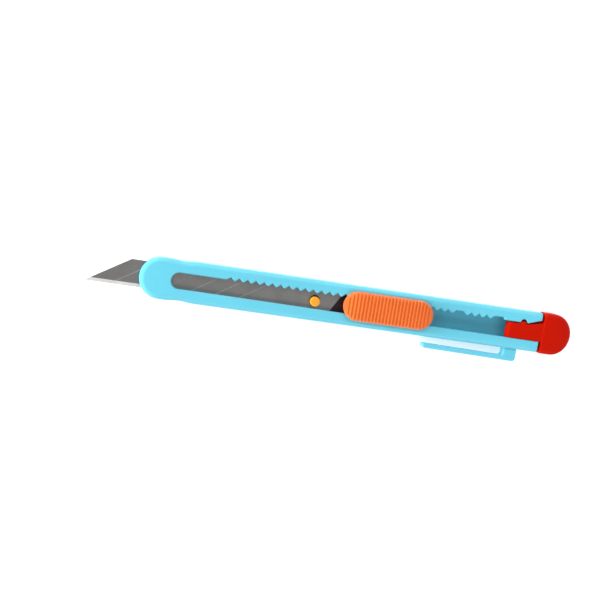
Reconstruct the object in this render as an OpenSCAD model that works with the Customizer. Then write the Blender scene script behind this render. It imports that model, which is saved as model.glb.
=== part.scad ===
// Snap-off utility knife for 9 mm blades, lying on the flat back of its handle.
// +X runs along the handle towards the end cap, so the blade leaves the nose towards -X.
// +Y is the blade's spine side; its cutting edge and the pocket clip are on the -Y side.
// +Z points out of the face that carries the thumb slider, and the back face is at Z = 0.
// The origin is on the back face, half way along the handle moulding.

/* [Handle] */
// Length of the handle moulding, without the end cap
handle_l = 140.2; // [140:0.2:150]
// Width across the handle
handle_w = 14; // [13.6:0.1:16]
// Thickness from the back face to the face with the slot
handle_t = 6.4; // [6.2:0.1:7]
// Radius along the outer edges
edge_r = 1.2; // [0.6:0.1:1.6]
// Thickness of the wall behind the channel
back_wall = 1.5; // [1.2:0.1:1.7]
// Width of the channel that the blade carrier runs in
channel_w = 10; // [10:0.1:10.2]
// Thickness of the two lips beside the slot
lip_t = 1.7; // [1.5:0.1:1.8]
// Depth of the shallow finger waist on each side, behind the nose
waist_depth = 0.4; // [0.2:0.1:0.8]
// Length of the waist along the handle
waist_l = 10; // [8:1:11]

/* [Slot and teeth] */
// Distance from the nose to the front end of the slot
slot_setback = 10.4; // [10:0.2:12]
// Edge of the slot on the cutting side
slot_low = -2.7; // [-2.8:0.05:-2.6]
// How much lower that edge lies at the slot's open end
slot_open = 0.5; // [0:0.1:0.6]
// Edge of the slot on the spine side, on the plain stretches at both ends
slot_high = 2.8; // [2.6:0.05:2.9]
// Level of the tooth tips
tooth_tip = 2.5; // [2.4:0.05:2.6]
// Distance from one detent notch to the next
tooth_pitch = 2.81; // [2.78:0.01:2.84]
// Depth of a notch
tooth_depth = 1.15; // [1.1:0.05:1.25]
// Number of notches
tooth_count = 33; // [33]
// Tooth that is left out, which makes the wide notch where the blade is parked
parked_tooth = 28; // [27:1:29]

/* [Blade] */
// Width of the blade
blade_w = 9; // [9]
// Thickness of the blade
blade_t = 0.38; // [0.3:0.02:0.4]
// Angle of the tip and of the score lines
tip_angle = 32; // [30:1:34]
// Distance from one score line to the next
segment_l = 8.15; // [8:0.05:8.3]
// Number of break-off segments
segment_count = 6; // [6]
// Width of the ground bevel along the cutting edge
bevel_w = 1.3; // [1:0.1:1.6]
// Length of blade in front of the nose, at the cutting edge
blade_out = 17.4; // [16:0.2:19]
// Length of the blade from its tip to the rear end of its spine
blade_l = 86.85; // [86:0.05:88]
// Slant of the blade's rear end, along the knife
tail_slant = 5.35; // [5:0.05:6]

/* [Thumb slider] */
// Length of the button
button_l = 31.6; // [31:0.2:32]
// Width of the button
button_w = 10; // [9:0.1:11]
// Thickness of the button above the handle
button_t = 2.65; // [2.5:0.05:3]
// Number of grooves across the button, between the grip ribs
groove_count = 25; // [21:2:25]
// Distance from one rib to the next
rib_pitch = 1.2; // [1.1:0.05:1.2]
// Diameter of the peg that holds the blade
peg_d = 3.35; // [3:0.05:3.5]
// Play that the slider takes up towards the spine side
play = 0.25; // [0:0.05:0.25]

/* [End cap] */
// Length of the cap behind the handle
cap_l = 11.3; // [10:0.1:12]
// Width of the cap
cap_w = 14.4; // [14:0.1:15]
// Length of the tongue that fills the rear of the slot
tongue_l = 13; // [12.8:0.1:13.4]

/* [Pocket clip] */
// Length of the clip
clip_l = 34.1; // [30:0.1:36]
// Thickness of the clip's arm
clip_t = 1.6; // [1.2:0.1:2]
// Gap between the handle and the free end of the arm
clip_gap = 2.3; // [1.8:0.1:2.6]
// How much wider the gap is at the post
clip_flare = 0.5; // [0:0.1:0.8]
// Width of the clip, through the handle's thickness
clip_h = 4; // [3:0.2:4]
// Length of the post that joins the clip to the handle
post_l = 4.7; // [4:0.1:6]

/* [Hidden] */
$fn = 64;
rest_gap = 0.15;                  // gap beside a piece that slides
slip = 0.1;                       // gap above and below a piece that slides
over = 1;                         // how far a cutter runs past what it cuts

half_l = handle_l / 2;
half_w = handle_w / 2;
nose_x = -half_l + half_w;        // centre of the round nose
waist_x = nose_x + 6.8;
waist_r = (pow(waist_l / 2, 2) + pow(waist_depth, 2)) / (2 * waist_depth);

lip_z = handle_t - lip_t;         // underside of the lips
channel_x = nose_x - 1;           // front end of the channel
slot_x = -half_l + slot_setback;
slot_r = (slot_high - slot_low) / 2;
slot_mid = (slot_high + slot_low) / 2;
root_y = tooth_tip + tooth_depth;
first_root_x = slot_x + 19.5;
last_tip_x = first_root_x + (tooth_count - 0.5) * tooth_pitch;
land_x = half_l - 13.9;           // flat stretch above the tongue
ramp_x = half_l - 4.9;            // the slot widens from here to its open end
ramp_rise = 1.6;
snap_x = half_l - 6.55;           // snap notch in the land
snap_r = 1.2;

blade_z = lip_z - 0.5;
blade_top = blade_z + blade_t;
hole_shift = 0.15;                // how far the blade's hole sits off the peg's axis
edge_y = play + hole_shift - blade_w / 2;
spine_y = edge_y + blade_w;
slit_half = blade_w / 2 + 0.55;
tip_x = -half_l - blade_out;
tip_slant = blade_w / tan(tip_angle);
spine_end_x = tip_x + blade_l;
kerf = 0.02;                      // gap at a score line
peg_x = spine_end_x - 10.2;
peg_y = -0.4;
peg_top = handle_t - 0.2;
peg_foot_r = 1.3;
peg_foot_l = 1.5;
hole_gap = 0.3;                   // gap between the peg and the blade's hole

carrier_bottom = back_wall + slip;
carrier_top = blade_z - 0.05;
carrier_w = channel_w - 0.8;
carrier_front = peg_x - 4.6;
button_x = spine_end_x - 0.7;     // front end of the button
button_z = handle_t + rest_gap;
button_r = button_w / 2;
stem_x = button_x + 3.15;
stem_end = button_x + button_l - 2.6;
stem_low = slot_low + rest_gap;
stem_high = tooth_tip - rest_gap;

detent = 20;                      // notch that the spring rests in
spring_x = first_root_x + detent * tooth_pitch;
spring_half = 10;                 // half the length of the leaf
spring_t = 0.3;
spring_out = tooth_tip - rest_gap;
spring_apex = root_y - 0.25;
spring_tip = 0.15;                // half the width of the flat on the bump
spring_travel = 1.2;
recess_y = spring_out - spring_t - spring_travel - rest_gap;
flank = (tooth_pitch / 2) / tooth_depth;

cap_x = half_l + 0.55;
cap_t = handle_t + 0.1;
plug_l = 9.3;
plug_w = channel_w - 0.4;
tongue_high = slot_high - 0.4;
tongue_rise = 1;                  // how much the tongue widens under the ramp
bump_r = 0.95;

clip_x = half_l - 7.1;            // rear face of the post
clip_z = (handle_t - clip_h) / 2;

blue = [0.33, 0.75, 0.88];
orange = [0.98, 0.42, 0.2];
red = [0.85, 0.13, 0.03];
black = [0.12, 0.1, 0.12];
steel = [0.5, 0.49, 0.48];
bright = [0.75, 0.75, 0.76];

SEGMENTS = ["blade_segment_1", "blade_segment_2", "blade_segment_3",
            "blade_segment_4", "blade_segment_5", "blade_segment_6"];

// Rectangle with round corners, standing on the X axis
module round_rect(w, t, r) {
    translate([-w / 2 + r, 0]) square([w - 2 * r, t]);
    translate([-w / 2, r]) square([w, t - 2 * r]);
    for (x = [-1, 1], y = [r, t - r])
        translate([x * (w / 2 - r), y]) circle(r);
}

// Half of the same section, turned into a half-round end that faces +X
module round_end(w, t, r) {
    rotate([0, 0, -90]) rotate_extrude(angle = 180)
        intersection() {
            round_rect(w, t, r);
            square([w, t]);
        }
}

// Straight bar with rolled edges, from x = 0 to x = l
module round_bar(l, w, t, r) {
    rotate([90, 0, 90]) linear_extrude(l) round_rect(w, t, r);
}

// Box given by two opposite corners
module block(a, b) {
    translate(a) cube(b - a);
}

// Cutting-side edge of the slot at x
function slot_low_at(x) =
    slot_low - slot_open * (x - slot_x - slot_r) / (half_l + over - slot_x - slot_r);

// Outline of the slot, with its detent notches on the spine side
module slot_outline() {
    notches = [for (k = [0 : tooth_count - 1])
        let (root_x = first_root_x + k * tooth_pitch)
        each [[root_x, root_y],
              [root_x + tooth_pitch / 2, k == parked_tooth ? root_y : tooth_tip]]];
    translate([slot_x + slot_r, slot_mid]) circle(slot_r);
    polygon(concat(
        [[slot_x + slot_r, slot_low], [slot_x + slot_r, slot_high],
         [first_root_x - tooth_pitch / 2, slot_high]],
        notches,
        [[last_tip_x + tooth_pitch / 2, root_y], [land_x, root_y], [land_x, slot_high],
         [ramp_x, slot_high], [half_l, slot_high + ramp_rise],
         [half_l + over, slot_high + ramp_rise],
         [half_l + over, slot_low_at(half_l + over)]]));
    translate([snap_x, slot_high]) circle(snap_r);
}

module handle_body() {
    color(blue) difference() {
        union() {
            translate([nose_x, 0, 0]) round_bar(half_l - nose_x, handle_w, handle_t, edge_r);
            translate([nose_x, 0, 0]) rotate([0, 0, 180]) round_end(handle_w, handle_t, edge_r);
        }
        for (side = [-1, 1])
            translate([waist_x, side * (half_w - waist_depth + waist_r), -over])
                cylinder(r = waist_r, h = handle_t + 2 * over, $fn = 128);
        block([channel_x, -channel_w / 2, back_wall], [half_l + over, channel_w / 2, lip_z]);
        block([-half_l - over, -slit_half, blade_z - slip], [channel_x + over, slit_half, lip_z]);
        translate([0, 0, lip_z - slip]) linear_extrude(lip_t + over) slot_outline();
    }
}

// The arm lies beside the handle and is joined to it by the post at its rear end
module pocket_clip() {
    arm_r = clip_t / 2;
    tip = [clip_x - clip_l + arm_r, -half_w - clip_gap - arm_r];
    heel = [clip_x - arm_r, tip[1] - clip_flare];
    color(blue) translate([0, 0, clip_z]) linear_extrude(clip_h) {
        for (p = [tip, heel])
            translate(p) circle(arm_r);
        polygon([tip + [0, arm_r], tip - [0, arm_r], heel - [0, arm_r], heel + [0, arm_r]]);
        translate([clip_x - post_l, heel[1]]) square([post_l, -half_w - heel[1]]);
    }
}

// Outline of the cap's tongue, with the snap bump that drops into the notch
module tongue_outline() {
    front = cap_x - tongue_l;
    polygon([[front, slot_low_at(front) + slip], [front, tongue_high],
             [ramp_x, tongue_high], [cap_x, tongue_high + tongue_rise],
             [cap_x + over, tongue_high + tongue_rise],
             [cap_x + over, slot_low_at(cap_x) + slip]]);
    translate([snap_x, tongue_high]) circle(bump_r);
}

module end_cap() {
    straight = cap_l - cap_w / 2;
    color(red) {
        translate([cap_x, 0, 0]) round_bar(straight, cap_w, cap_t, edge_r);
        translate([cap_x + straight, 0, 0]) round_end(cap_w, cap_t, edge_r);
        translate([0, 0, lip_z + slip]) linear_extrude(lip_t - 2 * slip) tongue_outline();
        block([cap_x - plug_l, slot_low + slip, back_wall + slip],
              [cap_x + over, tongue_high, lip_z + 2 * slip]);
        block([cap_x - plug_l, -plug_w / 2, back_wall + slip],
              [cap_x + over, plug_w / 2, lip_z - slip]);
    }
}

// Ribbed button above the slot, and the stem that passes down through it
module thumb_slider() {
    rib_r = 0.4;
    rim = 1.3;
    mid = button_l / 2;
    straight = mid - button_r;
    color(orange) {
        difference() {
            translate([button_x + button_r, play, button_z]) {
                round_bar(2 * straight, button_w, button_t, edge_r);
                rotate([0, 0, 180]) round_end(button_w, button_t, edge_r);
                translate([2 * straight, 0, 0]) round_end(button_w, button_t, edge_r);
            }
            for (i = [0 : groove_count - 1]) {
                from_mid = (i - (groove_count - 1) / 2) * rib_pitch;
                past = max(0, abs(from_mid) - straight);
                half = sqrt(pow(button_r - rim + rib_r, 2) - pow(past, 2));
                translate([button_x + mid + from_mid, play + half, button_z + button_t])
                    rotate([90, 0, 0]) cylinder(r = rib_r, h = 2 * half, $fn = 32);
            }
        }
        difference() {
            block([stem_x, stem_low, carrier_top], [stem_end, stem_high, button_z + over]);
            block([spring_x - spring_half - rest_gap, recess_y, carrier_top - over],
                  [spring_x + spring_half + rest_gap, root_y, button_z]);
        }
    }
}

// Plan of the raised land behind the blade, cut to the blade's slanted rear end
module carrier_land() {
    polygon([[spine_end_x - tail_slant + rest_gap, edge_y], [spine_end_x + rest_gap, spine_y],
             [stem_x, spine_y], [stem_x, edge_y]]);
}

module blade_carrier() {
    color(black) difference() {
        union() {
            block([carrier_front, play - carrier_w / 2, carrier_bottom],
                  [stem_end, play + carrier_w / 2, carrier_top]);
            translate([0, 0, carrier_top - slip])
                linear_extrude(blade_top - carrier_top + slip) carrier_land();
        }
        translate([peg_x, peg_y, carrier_top - peg_foot_l - slip])
            cylinder(r = peg_foot_r + kerf, h = peg_foot_l + over);
    }
}

module blade_peg() {
    chamfer = 0.3;
    peg_r = peg_d / 2;
    color(orange) translate([peg_x, peg_y, 0]) rotate_extrude()
        polygon([[0, carrier_top - peg_foot_l], [peg_foot_r, carrier_top - peg_foot_l],
                 [peg_foot_r, carrier_top], [peg_r, carrier_top], [peg_r, peg_top - chamfer],
                 [peg_r - chamfer, peg_top], [0, peg_top]]);
}

// Steel leaf in the side of the stem; its bump drops into one notch at a time
module lock_spring() {
    apex_half = spring_tip;
    foot_half = spring_tip + flank * (spring_apex - spring_out);
    inner = spring_out - spring_t;
    color(bright) translate([spring_x, 0, lip_z + slip]) linear_extrude(lip_t - 2 * slip)
        polygon([[-spring_half, inner], [-spring_half, spring_out], [-foot_half, spring_out],
                 [-apex_half, spring_apex], [apex_half, spring_apex],
                 [foot_half, spring_out], [spring_half, spring_out], [spring_half, inner],
                 [foot_half - spring_t / 2, inner], [0, spring_apex - 1.4 * spring_t],
                 [-foot_half + spring_t / 2, inner]]);
}

// The whole blade, ground to an edge along -Y, before it is divided
module blade_blank() {
    translate([tip_x, 0, blade_z]) rotate([90, 0, 90])
        linear_extrude(spine_end_x - tip_x)
            polygon([[edge_y, blade_t / 2], [edge_y + bevel_w, blade_t], [spine_y, blade_t],
                     [spine_y, 0], [edge_y + bevel_w, 0]]);
}

// Prism between two slanted lines that meet the cutting edge at x0 and x1
module slanted_slice(x0, x1, slant0, slant1) {
    translate([0, 0, blade_z - over]) linear_extrude(blade_t + 2 * over)
        polygon([[x0, edge_y], [x0 + slant0, spine_y],
                 [x1 + slant1, spine_y], [x1, edge_y]]);
}

// Break-off segment number i, counted from the tip
module blade_segment(i) {
    x0 = tip_x + (i - 1) * segment_l;
    color(steel) intersection() {
        blade_blank();
        slanted_slice(x0 + (i > 1 ? kerf : 0), x0 + segment_l, tip_slant, tip_slant);
    }
}

module blade_tail() {
    color(steel) difference() {
        intersection() {
            blade_blank();
            slanted_slice(tip_x + segment_count * segment_l + kerf, spine_end_x - tail_slant,
                          tip_slant, tail_slant);
        }
        translate([peg_x, peg_y + hole_shift, blade_z - over])
            cylinder(r = peg_d / 2 + hole_gap, h = blade_t + 2 * over);
    }
}

handle_body();
pocket_clip();
end_cap();
thumb_slider();
blade_carrier();
blade_peg();
lock_spring();
for (i = [1 : segment_count])
    blade_segment(i);
blade_tail();
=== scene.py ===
"""A slim snap-off utility knife, lying on its back on a pale floor.

Lengths are in millimetres until a mesh is made. +X runs to the end cap, +Y to the blade's spine,
+Z out of the face with the thumb slider.
"""

import math

import bmesh
import bpy
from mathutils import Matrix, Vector


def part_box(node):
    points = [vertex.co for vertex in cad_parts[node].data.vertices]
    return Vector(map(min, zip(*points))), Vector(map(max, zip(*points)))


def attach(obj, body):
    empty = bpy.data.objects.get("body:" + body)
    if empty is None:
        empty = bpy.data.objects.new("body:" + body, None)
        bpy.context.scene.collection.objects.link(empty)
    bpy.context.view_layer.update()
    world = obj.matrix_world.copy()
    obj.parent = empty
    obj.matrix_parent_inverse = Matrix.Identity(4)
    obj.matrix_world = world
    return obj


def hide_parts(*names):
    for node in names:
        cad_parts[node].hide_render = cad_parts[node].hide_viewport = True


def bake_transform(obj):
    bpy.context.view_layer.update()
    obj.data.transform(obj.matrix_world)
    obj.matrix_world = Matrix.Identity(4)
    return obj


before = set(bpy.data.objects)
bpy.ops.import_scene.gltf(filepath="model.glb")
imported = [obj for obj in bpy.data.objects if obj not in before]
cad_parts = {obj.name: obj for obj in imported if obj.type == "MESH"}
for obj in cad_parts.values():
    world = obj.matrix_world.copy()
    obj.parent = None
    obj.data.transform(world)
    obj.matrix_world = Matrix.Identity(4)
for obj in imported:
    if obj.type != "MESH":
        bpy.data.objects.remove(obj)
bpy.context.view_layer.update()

MM = 0.001
BOXES = {name: tuple(Vector(corner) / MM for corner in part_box(name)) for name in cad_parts}
HANDLE_LOW, HANDLE_HIGH = BOXES["handle_body"]
NOSE_X = HANDLE_LOW.x + HANDLE_HIGH.y        # centre of the rounded nose

# Camera: the point it looks at, its distance, and how the knife is turned in its view
AIM = Vector((-15.6, -0.78, 3.2))
DISTANCE = 378.7
PITCH = 5.5
YAW = 10.8
ROLL = 8.18
LENS = 67.3
SENSOR = 36.0

# Handle
RIM_RUN = 1.7            # how far the front edge's rounding reaches in from the side
RIM_DROP = 1.5           # and how far it reaches down
BACK_ROUND = 1.1
END_ROUND = 0.35
REAR_CORNER = 0.4
WAIST_DEPTH = 0.38
WAIST_HALF = 5.0
WAIST_BACK = 6.8         # from the centre of the nose
CHANNEL_HALF = 5.0
CHANNEL_FLOOR = 1.5
LIP_T = 1.7
LIP_Z = HANDLE_HIGH.z - LIP_T
SLIT_HALF = 5.05
SLIT_T = 0.6

# Slot and teeth
SLOT_SETBACK = 10.4
SLOT_LOW = -2.7
SLOT_OPEN = 0.5          # how much lower this edge lies at the open end
SLOT_HIGH = 2.8
TOOTH_TIP = 2.5
TOOTH_ROOT = 3.65
TOOTH_PITCH = 2.81
TOOTH_COUNT = 33
PARKED_TOOTH = 28
FIRST_ROOT = 19.5        # from the front end of the slot
LAND_BACK = 13.9         # from the rear end of the handle
RAMP_BACK = 4.9
RAMP_RISE = 1.6
SNAP_BACK = 6.55
SNAP_R = 1.2
SLOT_CHAMFER = 0.28
SLOT_OVERCUT = 0.03      # how far the chamfer's cutter goes on above the face
TIP_R = 0.36
ROOT_R = 0.12

# Cap
CAP_GAP = 0.55
CAP_ROUND = 1.5
CAP_FRONT_CHAMFER = 0.45
CAP_CORNER = 0.8
CAP_SLOPE_RUN = 8.5      # the cap's face slopes down over this length at its rear
CAP_SLOPE_DROP = 1.0
TONGUE_TOP_GAP = 0.4
TONGUE_RISE = 1.0
TONGUE_LEAD = 1.1
TONGUE_CHAMFER = 0.22
BUMP_R = 0.95
PLUG_L = 9.3
PLUG_HALF = 4.8

# Thumb slider
RIB_PITCH = 1.2
RIB_HEIGHT = 0.44
RIB_STEP = 0.12          # spacing of the mesh across the ribs
BUTTON_GAP = 0.15
BUTTON_RIM = 0.8         # height of the plain side below the rounding
BUTTON_ROUND = 1.1
BUTTON_DOME = 0.25
BUTTON_END_RUN = 6.5     # the top slopes down over this length at both ends
BUTTON_FRONT_DROP = 1.4
BUTTON_REAR_DROP = 0.4
STEM_FRONT = 3.15
STEM_REAR = 2.6
BUTTON_END_ROUND = 2.0

# Blade
SEGMENTS = 6
SEGMENT_L = 8.15
TIP_SLANT = 14.4
TAIL_SLANT = 5.35
BEVEL_W = 1.15
SCORE_W = 0.13
SCORE_DEPTH = 0.11
KERF = 0.02
HOLE_GAP = 0.3
HOLE_SHIFT = 0.15

# Clip
CLIP_T = 1.6
CLIP_FLARE = 0.5
POST_L = 4.7
CLIP_ROUND = 0.45

SMOOTH_ANGLE = math.radians(32)


# ---------------------------------------------------------------- outlines

def arc(centre, radius, start, end, steps):
    """Points on an arc, with the angles in degrees."""
    points = []
    for i in range(steps + 1):
        a = math.radians(start + (end - start) * i / steps)
        points.append((centre[0] + radius * math.cos(a), centre[1] + radius * math.sin(a)))
    return points


def fillet(corners, steps=4):
    """Outline through corners given as (x, y, radius), with each corner rounded."""
    outline = []
    count = len(corners)
    for i, (x, y, radius) in enumerate(corners):
        if radius <= 0:
            outline.append((x, y))
            continue
        here = Vector((x, y))
        before = (Vector(corners[i - 1][:2]) - here).normalized()
        after = (Vector(corners[(i + 1) % count][:2]) - here).normalized()
        half = before.angle(after) / 2
        centre = here + (before + after).normalized() * radius / math.sin(half)
        a = here + before * radius / math.tan(half) - centre
        b = here + after * radius / math.tan(half) - centre
        for k in range(steps + 1):
            t = k / steps
            direction = (a * (1 - t) + b * t).normalized()
            outline.append(tuple(centre + direction * radius))
    return outline


def grow(outline, distance):
    """Moves a counter-clockwise outline out by a distance, with mitred corners."""
    grown = []
    count = len(outline)
    for i in range(count):
        here = Vector(outline[i])
        d1 = (here - Vector(outline[i - 1])).normalized()
        d2 = (Vector(outline[(i + 1) % count]) - here).normalized()
        n1 = Vector((d1.y, -d1.x))
        n2 = Vector((d2.y, -d2.x))
        grown.append(tuple(here + (n1 + n2) * distance / (1 + n1.dot(n2))))
    return grown


def rolled_edge(run, drop, steps=6):
    """Steps over a rounded edge, as (inset, depth below the face), from the side to the face."""
    angles = [math.pi / 2 * i / steps for i in range(steps + 1)]
    return [(run * (1 - math.cos(a)), drop * (1 - math.sin(a))) for a in angles]


def smooth_step(t):
    t = min(max(t, 0.0), 1.0)
    return t * t * (3 - 2 * t)


# ---------------------------------------------------------------- meshes

def finish_mesh(piece, smooth=True):
    """Outward normals, smooth shading with sharp edges kept, and flat faces shaded flat."""
    mesh = piece.data
    bm = bmesh.new()
    bm.from_mesh(mesh)
    bmesh.ops.remove_doubles(bm, verts=bm.verts, dist=0.002 * MM)
    bmesh.ops.recalc_face_normals(bm, faces=bm.faces)
    bm.to_mesh(mesh)
    bm.free()
    mesh.polygons.foreach_set("use_smooth", [smooth] * len(mesh.polygons))
    if smooth:
        mesh.set_sharp_from_angle(angle=SMOOTH_ANGLE)
        weighted = piece.modifiers.new("weighted normals", "WEIGHTED_NORMAL")
        weighted.keep_sharp = True
    return piece


def loft(name, rings):
    """Closed mesh through rings of equal length, given in millimetres, capped at both ends."""
    count = len(rings[0])
    points = [Vector(p) * MM for ring in rings for p in ring]
    faces = [tuple(reversed(range(count))), tuple(range(len(points) - count, len(points)))]
    for r in range(len(rings) - 1):
        base = r * count
        for i in range(count):
            j = (i + 1) % count
            faces.append((base + i, base + j, base + count + j, base + count + i))
    mesh = bpy.data.meshes.new(name)
    mesh.from_pydata(points, [], faces)
    piece = bpy.data.objects.new(name, mesh)
    bpy.context.scene.collection.objects.link(piece)
    bm = bmesh.new()
    bm.from_mesh(mesh)
    bmesh.ops.recalc_face_normals(bm, faces=bm.faces)
    bm.to_mesh(mesh)
    bm.free()
    return piece


def prism(name, outline, levels):
    """Loft of one outline through (z, growth) levels."""
    rings = []
    for z, growth in levels:
        ring = grow(outline, growth) if growth else outline
        rings.append([(x, y, z) for x, y in ring])
    return loft(name, rings)


def soft_prism(name, outline, low_z, high_z, radius):
    """Prism with both its flat faces' edges rounded."""
    edge = rolled_edge(radius, radius, 3)
    levels = [(low_z + drop, -inset) for inset, drop in reversed(edge)]
    levels += [(high_z - drop, -inset) for inset, drop in edge]
    return prism(name, outline, levels)


def rectangle(x0, y0, x1, y1):
    return [(x0, y0), (x1, y0), (x1, y1), (x0, y1)]


def combine(piece, others, operation):
    """Applies a boolean with each of the other meshes, which are used up."""
    for other in others:
        step = piece.modifiers.new("boolean", "BOOLEAN")
        step.operation = operation
        step.solver = "EXACT"
        step.object = other
    bpy.context.view_layer.update()
    result = piece.evaluated_get(bpy.context.evaluated_depsgraph_get())
    mesh = bpy.data.meshes.new_from_object(result)
    piece.modifiers.clear()
    piece.data = mesh
    for other in others:
        bpy.data.objects.remove(other)
    return piece


def dress(piece, material, body, node):
    piece.data.materials.clear()
    piece.data.materials.append(material)
    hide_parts(node)
    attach(piece, body)
    return piece


# ---------------------------------------------------------------- materials

class Nodes:
    """Short ways to add and link shader nodes."""

    def __init__(self, name):
        self.material = bpy.data.materials.new(name)
        self.material.use_nodes = True
        self.tree = self.material.node_tree
        self.bsdf = self.tree.nodes["Principled BSDF"]
        self.place = self.add("ShaderNodeTexCoord").outputs["Object"]

    def add(self, kind, **values):
        node = self.tree.nodes.new(kind)
        for key, value in values.items():
            setattr(node, key, value)
        return node

    def link(self, source, target):
        self.tree.links.new(source, target)

    def set(self, **values):
        for key, value in values.items():
            self.bsdf.inputs[key.replace("_", " ")].default_value = value

    def noise(self, size_mm, stretch=(1, 1, 1), detail=3.0, roughness=0.5):
        """Noise with features of about size_mm, longer along the stretched axes."""
        mapping = self.add("ShaderNodeMapping")
        mapping.inputs["Scale"].default_value = [1 / s for s in stretch]
        self.link(self.place, mapping.inputs["Vector"])
        noise = self.add("ShaderNodeTexNoise")
        noise.inputs["Scale"].default_value = 1 / (size_mm * MM)
        noise.inputs["Detail"].default_value = detail
        noise.inputs["Roughness"].default_value = roughness
        self.link(mapping.outputs["Vector"], noise.inputs["Vector"])
        return noise.outputs["Fac"]

    def ramp(self, source, low, high, start=0.3, end=0.7):
        """Maps noise to numbers between low and high."""
        node = self.add("ShaderNodeMapRange")
        node.inputs["From Min"].default_value = start
        node.inputs["From Max"].default_value = end
        node.inputs["To Min"].default_value = low
        node.inputs["To Max"].default_value = high
        self.link(source, node.inputs["Value"])
        return node.outputs["Result"]

    def mix(self, factor, first, second):
        node = self.add("ShaderNodeMix", data_type="RGBA")
        self.link(factor, node.inputs["Factor"])
        node.inputs["A"].default_value = (*first, 1)
        node.inputs["B"].default_value = (*second, 1)
        return node.outputs["Result"]

    def bump(self, source, depth_mm, strength=1.0):
        node = self.add("ShaderNodeBump")
        node.inputs["Strength"].default_value = strength
        node.inputs["Distance"].default_value = depth_mm * MM
        self.link(source, node.inputs["Height"])
        self.link(node.outputs["Normal"], self.bsdf.inputs["Normal"])


def shade(colour, factor):
    return tuple(min(1.0, c * factor) for c in colour)


def plastic(name, colour, roughness, grain_mm, grain_depth_mm, scatter, gloss_level, haze):
    """Moulded plastic: faint flow mottling, a fine spark-eroded grain and uneven gloss."""
    nodes = Nodes(name)
    flow = nodes.ramp(nodes.noise(9.0, stretch=(3, 1, 1)), 0.0, 1.0)
    nodes.link(nodes.mix(flow, shade(colour, 0.95), shade(colour, 1.04)),
               nodes.bsdf.inputs["Base Color"])
    gloss = nodes.noise(1.4, detail=4.0)
    nodes.link(nodes.ramp(gloss, roughness - 0.02, roughness + 0.03),
               nodes.bsdf.inputs["Roughness"])
    nodes.bump(nodes.noise(grain_mm, detail=2.0), grain_depth_mm)
    nodes.set(IOR=1.49, Specular_IOR_Level=gloss_level, Sheen_Weight=haze, Sheen_Roughness=0.3)
    if scatter:
        nodes.set(Subsurface_Weight=scatter, Subsurface_Scale=0.6 * MM,
                  Subsurface_Radius=(1.0, 1.0, 1.0))
    return nodes.material


def steel(name, colour, roughness, stretch, streak_depth_mm, metallic):
    """Ground steel, with streaks along the stretched axis."""
    nodes = Nodes(name)
    streaks = nodes.noise(0.05, stretch=stretch, detail=4.0, roughness=0.6)
    blotch = nodes.ramp(nodes.noise(5.0, detail=3.0), 0.0, 1.0)
    nodes.link(nodes.mix(blotch, shade(colour, 0.93), shade(colour, 1.06)),
               nodes.bsdf.inputs["Base Color"])
    nodes.link(nodes.ramp(streaks, roughness - 0.05, roughness + 0.08),
               nodes.bsdf.inputs["Roughness"])
    nodes.bump(streaks, streak_depth_mm)
    nodes.set(Metallic=metallic)
    return nodes.material


BLUE = plastic("blue_plastic", (0.126, 0.55, 0.7), 0.38, 0.22, 0.004, 0.15, 0.5, 0.2)
RED = plastic("red_plastic", (0.5, 0.007, 0.0006), 0.36, 0.22, 0.003, 0.1, 0.06, 0.0)
ORANGE = plastic("orange_plastic", (0.75, 0.152, 0.024), 0.4, 0.18, 0.004, 0.1, 0.4, 0.0)
AMBER = plastic("amber_plastic", (0.78, 0.33, 0.026), 0.4, 0.18, 0.004, 0.1, 0.4, 0.0)
# The black plastic's reddish-purple cast is painted: it stands in for orange and skin-coloured light
# bounced onto the carrier from the slider and finger.
BLACK = plastic("black_plastic", (0.024, 0.012, 0.016), 0.5, 0.2, 0.004, 0.0, 0.15, 0.0)
SPRING = steel("spring_steel", (0.7, 0.7, 0.71), 0.25, (30, 1, 1), 0.001, 1.0)
GROUND = steel("ground_steel", (0.35, 0.34, 0.332), 0.42, (40, 1, 1), 0.004, 1.0)
# The bevel's steel is paler and partly non-metallic: a painted reflection of the bright surroundings
# on the polished bevel.
POLISHED_PAINTED_REFLECTION = steel("polished_bevel_painted_reflection", (0.7, 0.7, 0.685), 0.4, (1, 25, 1), 0.0008, 0.6)
# The score grooves' flanks get a paler, less metallic steel: a painted highlight, so they show as
# light lines.
SCORE_PAINTED_HIGHLIGHT = steel("score_groove_painted_highlight", (0.5, 0.5, 0.49), 0.5, (1, 1, 1), 0.0008, 0.3)


# ---------------------------------------------------------------- handle

def waist(x):
    """How far the side is drawn in at x."""
    u = (x - NOSE_X - WAIST_BACK) / WAIST_HALF
    if abs(u) >= 1:
        return 0.0
    return WAIST_DEPTH * (1 + math.cos(math.pi * u)) / 2


def handle_ring(side, end):
    """Plan outline of the handle, drawn in by side along it and by end at its rear."""
    radius = HANDLE_HIGH.y - side
    rear_x = HANDLE_HIGH.x - end
    corner = REAR_CORNER
    run = rear_x - corner - NOSE_X
    sides = [NOSE_X + run * (i / 60) ** 1.6 for i in range(1, 61)]
    lower = [(x, -(radius - waist(x))) for x in sides]
    upper = [(x, radius - waist(x)) for x in reversed(sides)]
    rear = arc((rear_x - corner, -radius + corner), corner, -90, 0, 3)[1:]
    rear += arc((rear_x - corner, radius - corner), corner, 0, 90, 3)[:-1]
    return arc((NOSE_X, 0), radius, 90, 270, 40) + lower + rear + upper


def slot_low_at(x):
    start = HANDLE_LOW.x + SLOT_SETBACK + (SLOT_HIGH - SLOT_LOW) / 2
    return SLOT_LOW - SLOT_OPEN * (x - start) / (HANDLE_HIGH.x + 1 - start)


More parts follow.
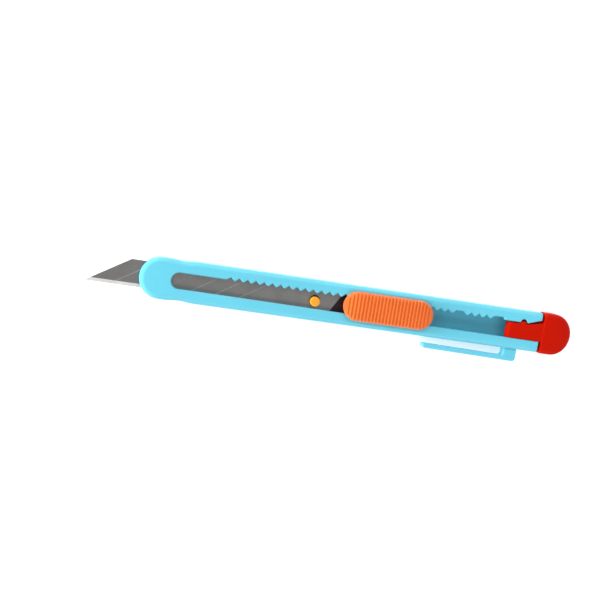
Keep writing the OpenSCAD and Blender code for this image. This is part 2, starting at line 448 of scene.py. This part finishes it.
def slot_outline(low, high):
    """Outline of the slot, counter-clockwise, with its notches on the +Y side."""
    slot_x = low.x + SLOT_SETBACK
    radius = (SLOT_HIGH - SLOT_LOW) / 2
    middle = (SLOT_HIGH + SLOT_LOW) / 2
    first = slot_x + FIRST_ROOT
    past = high.x + 1.5
    corners = [(past, slot_low_at(past), 0), (past, SLOT_HIGH + RAMP_RISE, 0),
               (high.x, SLOT_HIGH + RAMP_RISE, 0), (high.x - RAMP_BACK, SLOT_HIGH, 0.4)]
    snap_x = high.x - SNAP_BACK
    notch = arc((snap_x, SLOT_HIGH), SNAP_R, 0, 180, 8)
    corners += [(x, y, 0.34 if y < SLOT_HIGH + 0.01 else 0) for x, y in notch]
    corners += [(high.x - LAND_BACK, SLOT_HIGH, 0.42), (high.x - LAND_BACK, TOOTH_ROOT, 0.4)]
    corners.append((first + TOOTH_COUNT * TOOTH_PITCH, TOOTH_ROOT, ROOT_R))
    for k in reversed(range(TOOTH_COUNT)):
        root = first + k * TOOTH_PITCH
        if k != PARKED_TOOTH:
            corners.append((root + TOOTH_PITCH / 2, TOOTH_TIP, TIP_R))
        corners.append((root, TOOTH_ROOT, ROOT_R))
    corners.append((first - TOOTH_PITCH / 2, SLOT_HIGH, 0.45))
    corners += [(x, y, 0) for x, y in arc((slot_x + radius, middle), radius, 90, 270, 28)]
    return fillet(corners)


def build_handle():
    low, high = HANDLE_LOW, HANDLE_HIGH
    rings = []
    for inset, drop in reversed(rolled_edge(BACK_ROUND, BACK_ROUND, 5)):
        end = END_ROUND * inset / BACK_ROUND
        rings.append([(x, y, drop) for x, y in handle_ring(inset, end)])
    for inset, drop in rolled_edge(RIM_RUN, RIM_DROP, 9):
        end = END_ROUND * inset / RIM_RUN
        rings.append([(x, y, high.z - drop) for x, y in handle_ring(inset, end)])
    body = loft("handle", rings)

    channel = prism("channel", rectangle(NOSE_X - 1, -CHANNEL_HALF, high.x + 2, CHANNEL_HALF),
                    [(CHANNEL_FLOOR, 0), (LIP_Z, 0)])
    slit = prism("slit", rectangle(low.x - 2, -SLIT_HALF, NOSE_X + 1, SLIT_HALF),
                 [(LIP_Z - SLIT_T, 0), (LIP_Z - 0.003, 0)])
    growth = SLOT_CHAMFER + SLOT_OVERCUT
    slot = prism("slot", slot_outline(low, high),
                 [(LIP_Z - 1.2, 0), (high.z - SLOT_CHAMFER, 0), (high.z + SLOT_OVERCUT, growth),
                  (high.z + 0.5, growth)])
    combine(body, [channel, slit, slot], "DIFFERENCE")
    finish_mesh(body)
    return dress(body, BLUE, "handle", "handle_body")


# ---------------------------------------------------------------- clip

def build_clip():
    low, high = BOXES["pocket_clip"]
    half = CLIP_T / 2
    tip = Vector((low.x + half, low.y + half + CLIP_FLARE))
    heel_y = low.y
    slope = math.degrees(math.atan2(-CLIP_FLARE, high.x - low.x - CLIP_T))
    post_x = high.x - POST_L
    inner_y = low.y + CLIP_T + CLIP_FLARE * (high.x - post_x) / (high.x - low.x)
    root_y = high.y + 0.12
    free_end = [(x, y, 0) for x, y in arc(tip, half, 90 + slope, 270 + slope, 10)]
    corners = free_end + [(high.x, heel_y, 1.1), (high.x, root_y, 0), (post_x, root_y, 0),
                          (post_x, inner_y, 1.0)]
    clip = soft_prism("clip", fillet(corners, 6), low.z, high.z, CLIP_ROUND)
    subdivide_along_x(clip, low.x + 1.0, post_x - 1.2, 26)
    finish_mesh(clip)
    clip.data.materials.append(BLUE)
    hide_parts("pocket_clip")
    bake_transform(clip)
    return clip


def subdivide_along_x(piece, x0, x1, cuts):
    """Cuts a mesh with planes across X, between x0 and x1."""
    bm = bmesh.new()
    bm.from_mesh(piece.data)
    for i in range(cuts + 1):
        x = (x0 + (x1 - x0) * i / cuts) * MM
        geometry = bm.verts[:] + bm.edges[:] + bm.faces[:]
        bmesh.ops.bisect_plane(bm, geom=geometry, plane_co=(x, 0, 0), plane_no=(1, 0, 0))
    bm.to_mesh(piece.data)
    bm.free()


# ---------------------------------------------------------------- end cap

def cap_ring(cap_x, high, side, front):
    """Plan outline of the cap, drawn in by side around it and by front at its flat face."""
    radius = high.y - side
    centre_x = high.x - high.y
    left = cap_x + front + CAP_CORNER
    return (arc((centre_x, 0), radius, -90, 90, 40)
            + arc((left, radius - CAP_CORNER), CAP_CORNER, 90, 180, 5)
            + arc((left, -radius + CAP_CORNER), CAP_CORNER, 180, 270, 5))


def cap_slope(x, high):
    """How far the cap's face lies below its highest level at x."""
    t = max(0.0, x - high.x + CAP_SLOPE_RUN) / CAP_SLOPE_RUN
    return CAP_SLOPE_DROP * t * t


def tongue_outline(cap_x, lead):
    """Plan outline of the tongue, shortened by lead at its front end."""
    top = SLOT_HIGH - TONGUE_TOP_GAP
    front = BOXES["end_cap"][0].x + lead
    front_bottom = slot_low_at(front) + 0.1
    rear_bottom = slot_low_at(cap_x + 1.5) + 0.1
    ramp_x = HANDLE_HIGH.x - RAMP_BACK
    snap_x = HANDLE_HIGH.x - SNAP_BACK
    bump = [(x, y, 0.25 if y < top + 0.01 else 0) for x, y in arc((snap_x, top), BUMP_R, 0, 180, 7)]
    corners = ([(front, front_bottom, 0.25), (cap_x + 1.5, rear_bottom, 0),
                (cap_x + 1.5, top + TONGUE_RISE, 0), (cap_x, top + TONGUE_RISE, 0),
                (ramp_x, top, 0.4)] + bump + [(front, top, 0.25)])
    return fillet(corners)


def build_cap():
    high = BOXES["end_cap"][1]
    cap_x = HANDLE_HIGH.x + CAP_GAP
    edge = rolled_edge(CAP_ROUND, CAP_ROUND * 0.85, 7)
    rings = []
    for inset, drop in reversed(edge):
        front = CAP_FRONT_CHAMFER * inset / CAP_ROUND
        rings.append([(x, y, drop) for x, y in cap_ring(cap_x, high, inset, front)])
    for inset, drop in edge:
        front = CAP_FRONT_CHAMFER * inset / CAP_ROUND
        rings.append([(x, y, high.z - drop - cap_slope(x, high))
                      for x, y in cap_ring(cap_x, high, inset, front)])
    middle_x = (cap_x + high.x) / 2
    face = cap_ring(cap_x, high, CAP_ROUND, CAP_FRONT_CHAMFER)
    for scale in (0.85, 0.7, 0.55, 0.4, 0.25, 0.1):
        ring = [(middle_x + (x - middle_x) * scale, y * scale) for x, y in face]
        rings.append([(x, y, high.z - cap_slope(x, high)) for x, y in ring])
    cap = loft("end_cap_shell", rings)

    top_z = HANDLE_HIGH.z - 0.1
    chamfer = TONGUE_CHAMFER
    tongue_rings = []
    for z, lead, growth in ((LIP_Z - 0.4, 0.0, 0.0), (top_z - 1.0, 0.0, 0.0),
                            (top_z - chamfer, TONGUE_LEAD - chamfer, 0.0),
                            (top_z, TONGUE_LEAD, -chamfer)):
        outline = tongue_outline(cap_x, lead)
        if growth:
            outline = grow(outline, growth)
        tongue_rings.append([(x, y, z) for x, y in outline])
    tongue = loft("tongue", tongue_rings)
    plug = soft_prism("plug", rectangle(cap_x - PLUG_L, -PLUG_HALF, cap_x + 1.4, PLUG_HALF),
                      CHANNEL_FLOOR + 0.1, LIP_Z - 0.1, 0.3)
    combine(cap, [plug, tongue], "UNION")
    finish_mesh(cap)
    return dress(cap, RED, "cap", "end_cap")


# ---------------------------------------------------------------- thumb slider

def rib(x):
    """Height of the grip ribs at x, from 0 in a groove to 1 on a ridge."""
    wave = 0.5 + 0.5 * math.cos(2 * math.pi * x / RIB_PITCH)
    return wave ** 0.75


def build_button():
    low, high = BOXES["thumb_slider"]
    middle = (low + high) / 2
    half_l = (high.x - low.x) / 2
    radius = (high.y - low.y) / 2
    straight = half_l - radius
    bottom_z = HANDLE_HIGH.z + BUTTON_GAP
    rim_z = bottom_z + BUTTON_RIM

    def surface(x, y):
        past = max(0.0, abs(x) - straight)
        inside = max(0.0, radius - math.hypot(past, y))
        bend = past / radius
        edge = BUTTON_ROUND + (BUTTON_END_ROUND - BUTTON_ROUND) * bend
        t = min(1.0, inside / edge)
        slope = max(0.0, abs(x) - half_l + BUTTON_END_RUN) / BUTTON_END_RUN
        drop = (BUTTON_FRONT_DROP if x < 0 else BUTTON_REAR_DROP) * slope ** 2
        crown = high.z - 0.02 - BUTTON_DOME * (x / half_l) ** 2 - drop
        shoulder = rim_z + (crown - rim_z) * math.sqrt(1 - (1 - t) ** 2)
        groove = RIB_HEIGHT * (1 - rib(x)) * smooth_step((inside - 0.1 - 0.9 * bend) / 0.5)
        return shoulder - groove

    columns = [half_l * math.cos(math.radians(a)) for a in (0.6, 2, 4, 6)]
    length = 2 * (half_l - 0.2)
    steps = round(length / RIB_STEP)
    inner = [length * (i / steps - 0.5) for i in range(steps + 1)]
    xs = sorted([-c for c in columns] + inner + columns)
    rows = 36
    rings = []
    for x in xs:
        past = max(0.0, abs(x) - straight)
        half = math.sqrt(max(radius ** 2 - past ** 2, 1e-6))
        ring = [(middle.x + x, middle.y - half, bottom_z), (middle.x + x, middle.y + half, bottom_z)]
        for j in range(rows + 1):
            y = half * math.cos(math.pi * j / rows)
            ring.append((middle.x + x, middle.y + y, surface(x, y)))
        rings.append(ring)
    button = loft("thumb_button", rings)

    spring_low, spring_high = BOXES["lock_spring"]
    stem = prism("stem", rectangle(low.x + STEM_FRONT, SLOT_LOW + 0.15,
                                   high.x - STEM_REAR, TOOTH_TIP - 0.15),
                 [(low.z, 0), (bottom_z + 0.4, 0)])
    recess = prism("recess", rectangle(spring_low.x - 0.15, spring_low.y - 1.35,
                                       spring_high.x + 0.15, spring_high.y),
                   [(low.z - 1, 0), (bottom_z - 0.004, 0)])
    combine(stem, [recess], "DIFFERENCE")
    combine(button, [stem], "UNION")
    finish_mesh(button)
    return dress(button, ORANGE, "slider", "thumb_slider")


# ---------------------------------------------------------------- carrier, peg and spring

def build_carrier():
    low, high = BOXES["blade_carrier"]
    tail_low, tail_high = BOXES["blade_tail"]
    deck_z = tail_low.z - 0.05
    plate = soft_prism("carrier", rectangle(low.x, low.y, high.x, high.y), low.z, deck_z, 0.25)
    stem_x = BOXES["thumb_slider"][0].x + STEM_FRONT
    gap = 0.15
    land_outline = [(tail_high.x - TAIL_SLANT + gap, tail_low.y), (stem_x, tail_low.y),
                    (stem_x, tail_high.y), (tail_high.x + gap, tail_high.y)]
    land = prism("land", land_outline, [(deck_z - 0.5, 0), (high.z - 0.06, 0), (high.z, -0.06)])
    combine(plate, [land], "UNION")
    finish_mesh(plate)
    return dress(plate, BLACK, "slider", "blade_carrier")


def build_peg():
    low, high = BOXES["blade_peg"]
    centre = (low + high) / 2
    radius = (high.x - low.x) / 2
    steps = 40
    deck_z = BOXES["blade_tail"][0].z - 0.05
    levels = [(low.z, 1.3), (deck_z, 1.3), (deck_z, radius)]
    levels += [(high.z - drop, radius - inset) for inset, drop in rolled_edge(0.55, 0.35, 6)]
    levels.append((high.z, 0.25))
    rings = []
    for z, r in levels:
        rings.append([(x, y, z) for x, y in arc((centre.x, centre.y), r, 0, 360, steps)[:-1]])
    peg = loft("peg", rings)
    finish_mesh(peg)
    return dress(peg, AMBER, "slider", "blade_peg")


def dress_spring():
    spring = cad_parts["lock_spring"]
    spring.data.materials.clear()
    spring.data.materials.append(SPRING)


# ---------------------------------------------------------------- blade

def blade_rows(low, high):
    """Cross-section stations of the blade: (y, underside, top), from the edge to the spine."""
    middle = (low.z + high.z) / 2
    return [(low.y, middle - 0.012, middle + 0.012),
            (low.y + BEVEL_W, low.z, high.z),
            (high.y - 0.06, low.z, high.z),
            (high.y, low.z + 0.05, high.z - 0.05)]


def blade_piece(name, x0, x1, slant0, slant1, score0, score1):
    """Slice of the blade between two slanted sides, with half a score groove on scored sides."""
    low, high = BOXES["blade_segment_1"]
    width = high.y - low.y
    rings = []
    for y, under, top in blade_rows(low, high):
        t = (y - low.y) / width
        left = x0 + slant0 * t
        right = x1 + slant1 * t
        drop = min(SCORE_DEPTH, (top - under) * 0.4)
        drop0 = drop if score0 else 0.4 * drop
        drop1 = drop if score1 else 0.4 * drop
        run0 = SCORE_W if score0 else 0.05
        run1 = SCORE_W if score1 else 0.05
        rings.append([(left, y, under), (left, y, top - drop0), (left + run0, y, top),
                      (right - run1, y, top), (right, y, top - drop1), (right, y, under)])
    return loft(name, rings)


def finish_blade(piece, node):
    """Materials: ground flats, a polished bevel along the cutting edge in paler steel that paints
    its reflection of the bright surroundings, and score grooves in paler steel that paints their
    highlight.
    """
    finish_mesh(piece, smooth=False)
    edge = BOXES["blade_segment_1"][0].y
    piece.data.materials.clear()
    piece.data.materials.append(GROUND)
    piece.data.materials.append(POLISHED_PAINTED_REFLECTION)
    piece.data.materials.append(SCORE_PAINTED_HIGHLIGHT)
    # Bevel faces take the steel with the painted reflection, score flanks the steel with the painted
    # highlight.
    for face in piece.data.polygons:
        if face.center.y / MM < edge + BEVEL_W:
            face.material_index = 1
        elif 0.3 < face.normal.z < 0.95 and abs(face.normal.x) > 0.3:
            face.material_index = 2
    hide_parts(node)
    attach(piece, "slider")


def build_blade():
    tip_x = BOXES["blade_segment_1"][0].x
    tail_low, tail_high = BOXES["blade_tail"]
    for i in range(SEGMENTS):
        x0 = tip_x + i * SEGMENT_L
        piece = blade_piece(f"segment_{i + 1}", x0 + (KERF if i else 0), x0 + SEGMENT_L,
                            TIP_SLANT, TIP_SLANT, i > 0, True)
        finish_blade(piece, f"blade_segment_{i + 1}")
    tail = blade_piece("tail", tip_x + SEGMENTS * SEGMENT_L + KERF, tail_high.x - TAIL_SLANT,
                       TIP_SLANT, TAIL_SLANT, True, False)
    peg_low, peg_high = BOXES["blade_peg"]
    centre = (peg_low + peg_high) / 2
    radius = (peg_high.x - peg_low.x) / 2 + HOLE_GAP
    circle = arc((centre.x, centre.y + HOLE_SHIFT), radius, 0, 360, 48)[:-1]
    hole = prism("hole", circle, [(tail_low.z - 1, 0), (tail_high.z - 0.05, 0),
                                  (tail_high.z + 0.1, 0.15)])
    combine(tail, [hole], "DIFFERENCE")
    finish_blade(tail, "blade_tail")


# ---------------------------------------------------------------- floor, light and camera

def make_floor():
    outline = rectangle(-1500, -1500, 1500, 1500)
    floor = prism("floor", outline, [(-4, 0), (0, 0)])
    nodes = Nodes("floor_card")
    tone = nodes.ramp(nodes.noise(40.0), 0.0, 1.0)
    nodes.link(nodes.mix(tone, (0.9, 0.9, 0.9), (0.93, 0.93, 0.93)),
               nodes.bsdf.inputs["Base Color"])
    nodes.set(Roughness=0.75, Emission_Color=(1, 1, 1, 1), Emission_Strength=0.4)
    floor.data.materials.append(nodes.material)


def make_world():
    """A white studio: bright all round, and dimmer straight above, so flat steel stays dark."""
    world = bpy.data.worlds.new("studio")
    bpy.context.scene.world = world
    world.use_nodes = True
    tree = world.node_tree
    place = tree.nodes.new("ShaderNodeTexCoord")
    split = tree.nodes.new("ShaderNodeSeparateXYZ")
    levels = tree.nodes.new("ShaderNodeMapRange")
    levels.interpolation_type = "SMOOTHSTEP"
    levels.inputs["From Min"].default_value = 0.75
    levels.inputs["From Max"].default_value = 0.95
    levels.inputs["To Min"].default_value = 0.85
    levels.inputs["To Max"].default_value = 0.25
    tree.nodes["Background"].inputs["Color"].default_value = (1, 1, 1, 1)
    tree.links.new(place.outputs["Generated"], split.inputs["Vector"])
    tree.links.new(split.outputs["Z"], levels.inputs["Value"])
    tree.links.new(levels.outputs["Result"], tree.nodes["Background"].inputs["Strength"])


def softbox(name, position, target, width, height, power, mirrored=True):
    data = bpy.data.lights.new(name, "AREA")
    data.shape = "RECTANGLE"
    data.size = width * MM
    data.size_y = height * MM
    data.energy = power
    light = bpy.data.objects.new(name, data)
    bpy.context.scene.collection.objects.link(light)
    light.visible_glossy = mirrored
    light.location = Vector(position) * MM
    direction = Vector(target) - Vector(position)
    light.rotation_euler = direction.to_track_quat("-Z", "Y").to_euler()


def make_camera():
    data = bpy.data.cameras.new("camera")
    data.lens = LENS
    data.sensor_width = SENSOR
    data.clip_start = 0.01
    data.clip_end = 20.0
    camera = bpy.data.objects.new("camera", data)
    bpy.context.scene.collection.objects.link(camera)
    camera.rotation_mode = "ZYX"
    camera.rotation_euler = (math.radians(-PITCH), math.radians(-YAW), math.radians(ROLL))
    back = camera.rotation_euler.to_matrix() @ Vector((0, 0, 1))
    camera.location = (AIM + back * DISTANCE) * MM
    bpy.context.scene.camera = camera


make_camera()
make_floor()
make_world()
# The key light stands low, so its mirror image would wash the steel out when seen from the side.
softbox("key_left", (-640, 60, 120), (-20, 0, 0), 300, 200, 6.0, mirrored=False)
softbox("top_back", (60, 520, 380), (0, 0, 0), 700, 300, 1.5)
softbox("front_low", (60, -420, 420), (0, 0, 0), 700, 260, 1.2)
bpy.context.scene.view_settings.view_transform = "Standard"

build_handle()
build_clip()
build_cap()
build_button()
build_carrier()
build_peg()
dress_spring()
build_blade()
